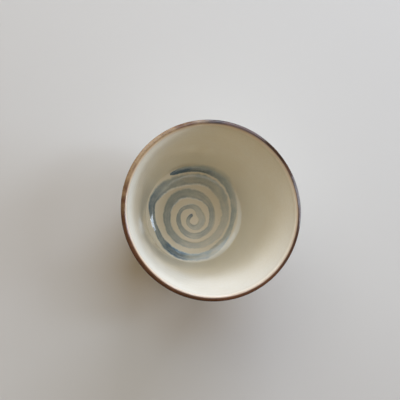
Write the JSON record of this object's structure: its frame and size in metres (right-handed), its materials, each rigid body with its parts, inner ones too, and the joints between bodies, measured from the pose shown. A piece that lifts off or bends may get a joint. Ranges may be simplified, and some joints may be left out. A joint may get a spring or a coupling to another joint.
{
  "type": "soba choko cup",
  "caption": "Small tapered stoneware cup with a trimmed foot ring, an iron-brown band over the lip and a spiral brushed on the inside floor, for dipping sauce or tea.",
  "frame": {"origin": "centre of the foot ring's standing face", "axes": "+Z along the cup's axis, out of the mouth; +X and +Y across the mouth, with the brushed spiral ending on the +Y side"},
  "size_m": [0.0842, 0.0842, 0.066],
  "materials": {
    "stoneware": "matte",
    "milk_glaze": "gloss",
    "iron_glaze": "gloss",
    "brushed_blue": "gloss"
  },
  "bodies": {
    "root": {"clay_body": "stoneware", "inner_glaze": "milk_glaze", "outer_glaze": "milk_glaze", "foot_well_glaze": "milk_glaze", "iron_rim_band": "iron_glaze", "brushed_spiral": "brushed_blue"}
  },
  "joints": []
}
